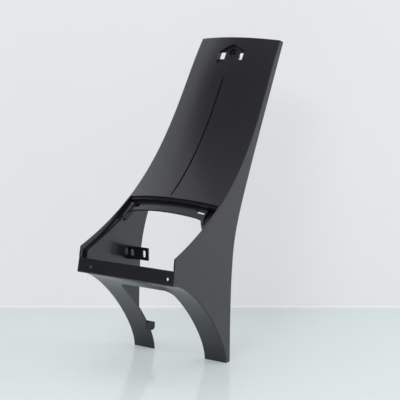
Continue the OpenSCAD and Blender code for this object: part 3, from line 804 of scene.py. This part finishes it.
def seat_half(inn, catch, well, side):
    """Half of the recessed seat, for x from 0 outwards: rows at given distances below the lip down to the ledge's
    lower edge, which rounds into a gusset by a quarter circle, then rows down the rib to the crossbar. Nodes in the
    corner well drop by the well's depth. The half ends its opening at inn, has its slot at catch and its well from
    well outwards, and lies at the right for side 1 and at the left for -1."""
    w0 = LIP_W - WALL
    rib = w0 - RIB_W
    arc = inn - OPEN_R + OPEN_R * np.sin(np.radians([0, 30, 60, 90]))
    c0, c1 = catch - CATCH_W / 2, catch + CATCH_W / 2
    xs = [0, 12, 24, 36, 48, c0, catch, c1] if c1 <= arc[0] + 3 else [0, 14, 28, 42, 56, c0, catch, c1]
    more = np.sort(np.concatenate([arc[arc > c1 + 0.2], [max(inn, well) * 0.5 + rib * 0.5]]))
    more = np.concatenate([more, np.linspace(more[-1], rib, 6 - len(more) + 1)[1:]])[:5]
    xs = np.concatenate([xs, more, [well, well, rib, w0 + 0.4]])
    xs[8:13] = np.minimum(xs[8:13], np.linspace(c1, well, 6)[1:] if xs[12] > well else xs[8:13])
    c_ef, c_r = 14, 15  # the columns of the well's edge and of the rib
    n = len(xs)
    base = LEDGE + SLANT * np.clip((side * xs + SLANT_FROM) / SLANT_RUN, 0, 1)
    corner = OPEN_R - np.sqrt(np.clip(OPEN_R**2 - (xs - inn + OPEN_R) ** 2, 0, None))
    low = base + np.where(xs > inn - OPEN_R, corner, 0)
    low = np.where(xs > inn, base + OPEN_R + (xs - inn) / (rib - inn) * (GUSSET_H - OPEN_R), low)
    low[c_r:] = base[c_r:] + GUSSET_H
    in_well = np.arange(n) >= c_ef - 1
    one = np.ones(n)
    rows = [0 * one, 3 * one, 3 * one, CATCH[0] * one, CATCH[1] * one]
    rows += [CATCH[1] + (low - CATCH[1]) * v for v in (0.33, 0.66, 0.66)] + [low]
    n_ledge = len(rows)
    nose_s = float(NECK.of_z(NOSE[1]))
    rows += [low + (-nose_s - low) * v for v in np.linspace(0, 1, 12)[1:]]
    D = np.array(rows)
    X = np.repeat(xs[None], len(D), 0)
    D[5, in_well], D[6:8, in_well] = 0.6 * WELL_H, WELL_H
    D[8, c_ef - 1:c_r] = np.maximum(D[8, c_ef - 1:c_r], WELL_H + 3)
    slant = np.clip((D - 0.6 * WELL_H) / (0.4 * WELL_H), 0, 1) * (w0 - well) / 3
    X[:8, c_ef - 1:c_ef + 1] = well + slant[:8, c_ef - 1:c_ef + 1]
    X[:8, c_r] = (X[:8, c_ef] + w0) / 2
    X[8:, c_ef - 1:c_ef + 1] = min(well + 5, rib - 0.4)
    deep = np.zeros_like(D)
    deep[2:7, c_ef:] = WELL_DEEP
    grow_d, grow_x = np.zeros_like(D), np.zeros_like(D)
    grow_d[1:3, c_ef - 1:] = -WELL_WALL
    grow_d[6:8, c_ef - 1:] = WELL_WALL
    grow_x[1:8, c_ef - 1:c_ef + 1] = -WELL_WALL
    base_z = NECK.at(-D)[..., 1]
    below = np.arange(len(D))[:, None] >= n_ledge
    X = np.where(below & (np.arange(n) >= c_r), X + half_w(base_z) - LIP_W, X)
    X[:, -1] = half_w(base_z[:, -1]) - WALL + 0.4
    outer = face(X, -D, -SEAT_DEEP - deep)
    inner = face(X + grow_x, -(D + grow_d), -(SEAT_DEEP + WALL) - np.where(deep > 0, WELL_DEEP - WALL + WELL_WALL, 0))
    up = np.arctan2(NOSE[1] - SEAT_FOOT[1], NOSE[0] - SEAT_FOOT[0])
    n1, n2 = np.array([-np.sin(up), np.cos(up)]), NECK.out(NECK.of_z(NOSE[1] + 1))
    m = (n1 + n2) / np.linalg.norm(n1 + n2)
    grids = []
    for g, t in ((outer, SEAT_DEEP), (inner, SEAT_DEEP + WALL)):
        g[-1, :, 1:] = NOSE - m * t / (m @ n2)
        foot = g[-1].copy()
        foot[:, 0] += half_w(SEAT_FOOT[1]) - half_w(NOSE[1])
        foot[:, 1:] = SEAT_FOOT - n1 * t
        grids.append(np.vstack([g, foot[None]]))
    solid = np.zeros((len(D), n - 1), bool)
    solid[:n_ledge - 1] = True
    solid[n_ledge - 1:, c_r:] = True
    solid[3, 5:7] = False
    return grids[0], grids[1], solid


def seat_mesh():
    """The recessed seat for the hatch cover: its two halves, which differ a little, joined down the middle."""
    ro, ri, rs = seat_half(82.4, CATCH_RIGHT, 83.4, 1)
    lo, li, ls = seat_half(94.4, CATCH_LEFT, 95.4, -1)
    flip = [-1, 1, 1]
    outer = np.concatenate([lo[:, :0:-1] * flip, ro], 1)
    inner = np.concatenate([li[:, :0:-1] * flip, ri], 1)
    return wall_mesh(outer, inner, np.concatenate([ls[:, ::-1], rs], 1), 0.5)


def sleeves():
    """A short square tube behind each catch slot: six rings round the slot's outline, out over the tube and back
    through its bore, joined end to end."""
    out = soften([[-10.2, -5.7], [10.2, -5.7], [10.2, 5.7], [-10.2, 5.7]], 1.5)
    bore = soften([[-9.1, -4.6], [9.1, -4.6], [9.1, 4.6], [-9.1, 4.6]], 0.8)
    loops = [(out, 1.5), (out, 7.7), (out * 0.98, 8.0), (bore * 1.02, 8.0), (bore, 7.7), (bore, 1.5)]
    k, m = len(loops), len(out)
    i, j = np.meshgrid(np.arange(k), np.arange(m), indexing="ij")
    n, u = (j + 1) % m, (i + 1) % k
    quads = np.stack([i * m + j, u * m + j, u * m + n, i * m + n], -1).reshape(-1, 4)
    return [(np.vstack([face(mid + o[:, 0], o[:, 1] - sum(CATCH) / 2, -SEAT_DEEP - deep) for o, deep in loops]), quads)
            for mid in (-CATCH_LEFT, CATCH_RIGHT)]


def bracket_parts():
    """The slotted bracket: a plate with two upright slots, each a square ring of cells drawn into a stadium, a rib down
    its middle and a triangular web along its top and bottom."""
    x0, x1, z0, z1, y0 = -106.4, -60.0, 180.0, 205.0, -17.0
    slots, r, half_slot, web_h = (-98.0, -70.0), 3.25, 3.75, 2.5
    zc = (z0 + z1) / 2
    a, b = np.meshgrid(np.arange(-3, 4), np.arange(3, -4, -1))
    ring, cx, cz = ring_of(a, b)
    step = np.arange(-3, 4)
    xs = np.concatenate([[x0, -104], step * r / 3 + slots[0], [-91, -87, -84, -81, -77], step * r / 3 + slots[1],
                         [-64, x1]])
    zs = np.concatenate([[z1, z1 - web_h], zc - step * (r + half_slot) / 3, [z0 + web_h, z0]])
    X, Z = np.meshgrid(xs, zs)
    solid = np.ones((len(zs) - 1, len(xs) - 1), bool)
    for c0, mid in zip((2, 14), slots):
        X[2:9, c0:c0 + 7] = mid + r * ring / 3 * cx
        Z[2:9, c0:c0 + 7] = zc + (r * cz + np.sign(cz) * half_slot * np.minimum(1, np.abs(cz) * 3)) * ring / 3
        solid[2:8, c0:c0 + 6] = False
    o = np.stack([X, np.full_like(X, y0), Z], -1)
    q = np.stack([X, np.full_like(X, y0 + WALL), Z], -1)
    parts = [wall_mesh(o, q, solid, 0.5)]
    web = soften([[x0, y0 + 0.4], [x0, y0 - 8], [-84.4, y0 + 0.4]], [0.1, 0.1, 0.3], 3)
    for z in (z0, z1 - web_h):
        parts.append(slab(web, z, z + web_h, seen_from_above, 0.3))
    rib = soften([[-85.25, y0 + 0.4], [-85.25, y0 - 2.5], [-82.75, y0 - 2.5], [-82.75, y0 + 0.4]],
                 [0.1, 0.5, 0.5, 0.1], 3)
    parts.append(slab(rib, z0 + 0.05, z1 - 0.05, seen_from_above, 0.3))
    return parts


def tab_parts():
    """The small upright tab at the left flange, with one rounded corner, and the block that joins it to the flange."""
    x0, z0, y0 = -65.4, 44.0, -21.0
    wide, tall, block_wide, block_tall = 21.4, 18, 5.35, 13
    plate = soften([[x0, z0], [x0 + wide, z0], [x0 + wide, z0 + tall], [x0, z0 + tall]], [0.4, 9, 0.8, 0.4], 6)
    block = soften([[x0, z0 + 0.05], [x0 + block_wide, z0 + 0.05], [x0 + block_wide, z0 + block_tall],
                    [x0, z0 + block_tall]], 0.4, 3)
    return [slab(plate, y0, y0 + WALL, seen_from_front, 0.5), slab(block, y0 + 0.1, -6.5, seen_from_front, 0.4)]


shell = piece("leg_shield_shell",
              [shell_mesh(), lip_mesh(), seat_mesh()] + sleeves() + bracket_parts() + tab_parts())
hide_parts("leg_shield")


# ---- the stage, in metres
def quad(name, pts, material):
    """A flat sheet with four corners."""
    me = bpy.data.meshes.new(name)
    me.from_pydata([tuple(p) for p in pts], [], [(0, 1, 2, 3)])
    me.materials.append(material)
    o = bpy.data.objects.new(name, me)
    scene.collection.objects.link(o)


CAM = Vector((1.2712, -1.8115 - MID_Y, 0.6732))
AIM = Vector((0.0494, -MID_Y, 0.3076))
FOCAL_PIXELS, FRAME_PIXELS, SENSOR = 1180, 400, 36
HALF_STAGE, WALL_AWAY, WALL_TALL = 3.0, 2.565, 0.95
view = Vector((AIM.x - CAM.x, AIM.y - CAM.y, 0)).normalized()
wall_foot = Vector((CAM.x, CAM.y, 0)) + view * WALL_AWAY
along = Vector((-view.y, view.x, 0)) * HALF_STAGE
rise_up = Vector((0, 0, WALL_TALL))
quad("floor", [(x * HALF_STAGE, y * HALF_STAGE, 0) for x, y in ((-1, -1), (1, -1), (1, 1), (-1, 1))],
     plain("floor_pale", (0.72, 0.795, 0.785, 1), 0.12, 0.4))
# the backdrop, with a painted highlight 3 mm high along its foot where it meets the floor
quad("backdrop", [wall_foot + along, wall_foot - along, wall_foot - along + rise_up, wall_foot + along + rise_up],
     plain("wall_pale", (0.895, 0.905, 0.92, 1), 0.8, 0.6, True, 0.003))


def lamp(name, direction, dist, size, power):
    """A soft lamp that faces the part from a distance. It doesn't show up in the gloss of what it lights."""
    d = bpy.data.lights.new(name, "AREA")
    d.shape = "RECTANGLE"
    d.size, d.size_y, d.energy = size[0], size[1], power
    o = bpy.data.objects.new(name, d)
    v = Vector(direction).normalized()
    o.location = Vector((0, 0, 0.35)) + v * dist
    o.rotation_euler = v.to_track_quat("Z", "Y").to_euler()
    o.visible_glossy = False
    scene.collection.objects.link(o)


lamp("key_above", (-0.1, -0.1, 1), 2.3, (2.2, 2.2), 27)
lamp("key_front", (0.15, -0.72, 0.6), 2.6, (0.9, 0.6), 20)
lamp("key_right", (1.0, 0.62, 0.3), 1.9, (1.1, 1.2), 12)

room = bpy.data.worlds.new("room")
tr = Tree(room)
ray = tr.node("ShaderNodeLightPath", out=LP_CAMERA)
way = tr.node("ShaderNodeTexCoord", out=TC_GENERATED)


def patch(direction, edge0, edge1):
    """1 inside a cone about a direction, 0 outside, with a soft edge between two cosines."""
    dot = tr.node("ShaderNodeVectorMath", {"operation": "DOT_PRODUCT"},
                  {0: way, 1: tuple(Vector(direction).normalized())}, out=1)
    return rise(tr, dot, edge0, edge1)


soft = patch((-0.66, 0.30, 0.69), 0.70, 0.92)  # a large soft light, up to the left and behind
dim = patch((0.531, -0.844, 0.074), -0.11, -0.05)  # the half of the room beyond that light's edge
front = patch((-0.35, -0.93, 0.1), 0.2, 0.95)  # the dark room in front
back = patch((0.2, 1.0, 0.1), 0.0, 0.6)  # the pale wall behind
level = 0.29 + 0.38 * soft * (1 - dim) - 0.2 * front + 0.42 * back
seen = level * (1 - ray) + 0.81 * ray
bg = tr.node("ShaderNodeBackground", {}, {"Color": (0.98, 0.99, 1.0, 1), "Strength": seen})
tr.node("ShaderNodeOutputWorld", {}, {"Surface": bg})
scene.world = room

cam = bpy.data.cameras.new("camera")
cam.lens = SENSOR * FOCAL_PIXELS / FRAME_PIXELS
cam.sensor_width = SENSOR
cam.clip_end = 50
co = bpy.data.objects.new("camera", cam)
co.location = CAM
co.rotation_euler = (AIM - CAM).to_track_quat("-Z", "Y").to_euler()
scene.collection.objects.link(co)
scene.camera = co
